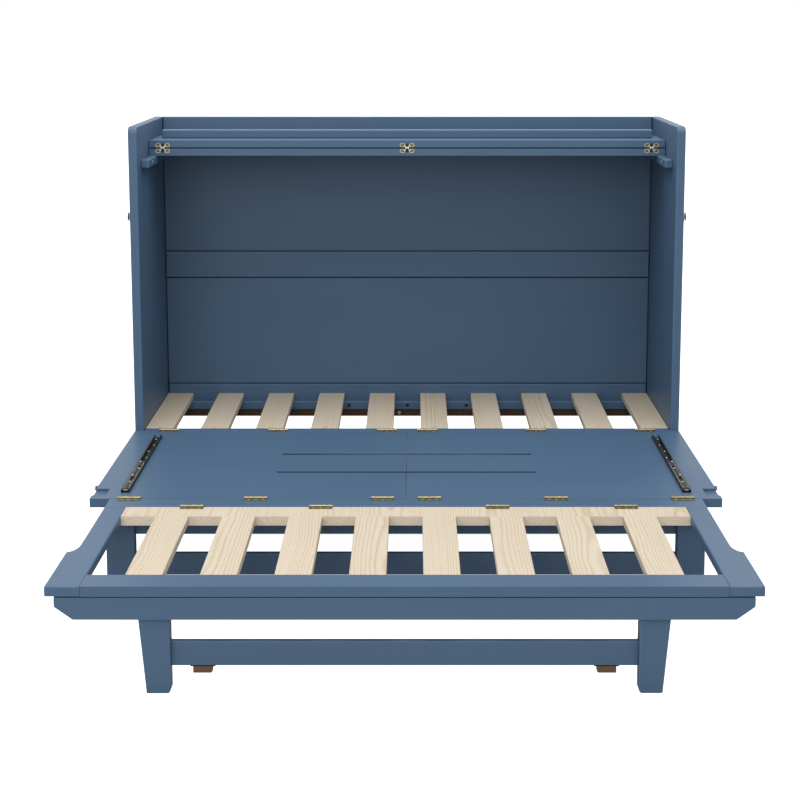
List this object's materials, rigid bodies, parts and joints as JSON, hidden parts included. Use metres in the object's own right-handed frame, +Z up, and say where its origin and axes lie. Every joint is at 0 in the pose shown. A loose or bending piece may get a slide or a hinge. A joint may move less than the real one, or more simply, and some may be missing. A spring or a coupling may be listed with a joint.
{
  "type": "wall bed",
  "caption": "Wall bed shown open: a low cabinet with a folding lid, a fold-down front panel, a bridge strip and a slatted foot frame on folding legs, without its mattress.",
  "frame": {"origin": "on the floor, in the middle of the open bed's footprint", "axes": "+Z up, +Y towards the cabinet at the head end, +X to the right as seen from the foot end"},
  "size_m": [1.664, 2.057, 1.174],
  "materials": {
    "painted_wood": "satin blue paint",
    "pine": "bare pale pine",
    "raw_wood": "bare brown wood",
    "brass": "antique, satin",
    "black_steel": "black, satin",
    "grey_steel": "dark grey, satin"
  },
  "bodies": {
    "cabinet": {"cabinet_side_left": "painted_wood", "cabinet_side_right": "painted_wood", "back_upper_panel": "painted_wood", "back_middle_rail": "painted_wood", "back_lower_panel": "painted_wood", "back_bottom_rail": "painted_wood", "cabinet_front_rail": "painted_wood", "front_ledger": "pine", "rear_ledger": "painted_wood", "rear_raw_rail": "raw_wood", "cabinet_slats": "pine", "lid_rear_leaf": "painted_wood", "lid_cleats": "painted_wood", "latch_keepers": "grey_steel", "slat_and_ledger_screws": "black_steel", "cleat_screws": "brass", "rear_rail_bolt": "brass", "cabinet_hinge_leaves": "brass", "lid_hinge_fixed_halves": "brass"},
    "lid": {"lid_front_leaf": "painted_wood", "lid_batten": "painted_wood", "lid_hinge_moving_halves": "brass"},
    "front_panel": {"panel_board_left": "painted_wood", "panel_board_right": "painted_wood", "panel_tongue": "pine", "panel_hinge_leaves": "brass", "slide_channel_left": "black_steel", "slide_channel_right": "black_steel", "hook_screws": "grey_steel"},
    "slide_runner_left": {"slide_runner_left": "black_steel"},
    "slide_runner_right": {"slide_runner_right": "black_steel"},
    "hook_left": {"hook_left": "grey_steel"},
    "hook_right": {"hook_right": "grey_steel"},
    "bridge": {"bridge_rail": "painted_wood", "bridge_hinge_leaves": "brass"},
    "foot_frame": {"foot_rail_left": "painted_wood", "foot_rail_right": "painted_wood", "foot_front_rail": "painted_wood", "foot_beam": "pine", "foot_apron": "painted_wood", "foot_slat_1": "pine", "foot_slat_2": "pine", "foot_slat_3": "pine", "foot_slat_4": "pine", "foot_slat_5": "pine", "foot_slat_6": "pine", "foot_slat_7": "pine", "foot_slat_8": "pine", "foot_hinge_leaves": "brass"},
    "rear_legs": {"rear_leg_left": "painted_wood", "rear_leg_right": "painted_wood", "rear_leg_rail": "painted_wood", "rear_stretcher": "painted_wood", "rear_leg_hinge_leaves": "painted_wood"},
    "front_legs": {"front_leg_left": "painted_wood", "front_leg_right": "painted_wood", "front_stretcher": "painted_wood", "front_leg_hinge_leaves": "painted_wood", "block_plates": "black_steel", "blocks": "raw_wood"}
  },
  "joints": [
    {"name": "panel_fold", "type": "hinge", "parent": "cabinet", "child": "front_panel", "pos_m": [0, 0.4625, 0.258], "axis": [-1, 0, 0], "range_deg": [0, 90]},
    {"name": "bridge_fold", "type": "hinge", "parent": "front_panel", "child": "bridge", "pos_m": [0, -0.3065, 0.258], "axis": [-1, 0, 0], "range_deg": [0, 90]},
    {"name": "foot_fold", "type": "hinge", "parent": "bridge", "child": "foot_frame", "pos_m": [0, -0.3865, 0.258], "axis": [-1, 0, 0], "range_deg": [0, 90]},
    {"name": "rear_legs_fold", "type": "hinge", "parent": "foot_frame", "child": "rear_legs", "pos_m": [0, -0.4295, 0.228], "axis": [-1, 0, 0], "range_deg": [0, 90]},
    {"name": "front_legs_fold", "type": "hinge", "parent": "foot_frame", "child": "front_legs", "pos_m": [0, -0.973, 0.228], "axis": [1, 0, 0], "range_deg": [0, 90]},
    {"name": "lid_fold", "type": "hinge", "parent": "cabinet", "child": "lid", "pos_m": [0, 0.6945, 1.0947], "axis": [1, 0, 0], "range_deg": [0, 180]},
    {"name": "hook_left_turn", "type": "hinge", "parent": "front_panel", "child": "hook_left", "pos_m": [-0.82855, -0.1125, 0.238], "axis": [-1, 0, 0], "range_deg": [0, 35]},
    {"name": "hook_right_turn", "type": "hinge", "parent": "front_panel", "child": "hook_right", "pos_m": [0.82855, -0.1125, 0.238], "axis": [-1, 0, 0], "range_deg": [0, 35]},
    {"name": "slide_left", "type": "slide", "parent": "front_panel", "child": "slide_runner_left", "axis": [0, 1, 0], "range_m": [0, 0.28]},
    {"name": "slide_right", "type": "slide", "parent": "front_panel", "child": "slide_runner_right", "axis": [0, 1, 0], "range_m": [0, 0.28]}
  ],
  "couplings": [
    {"joint": "foot_fold", "follows": "bridge_fold", "ratio": 1}
  ]
}
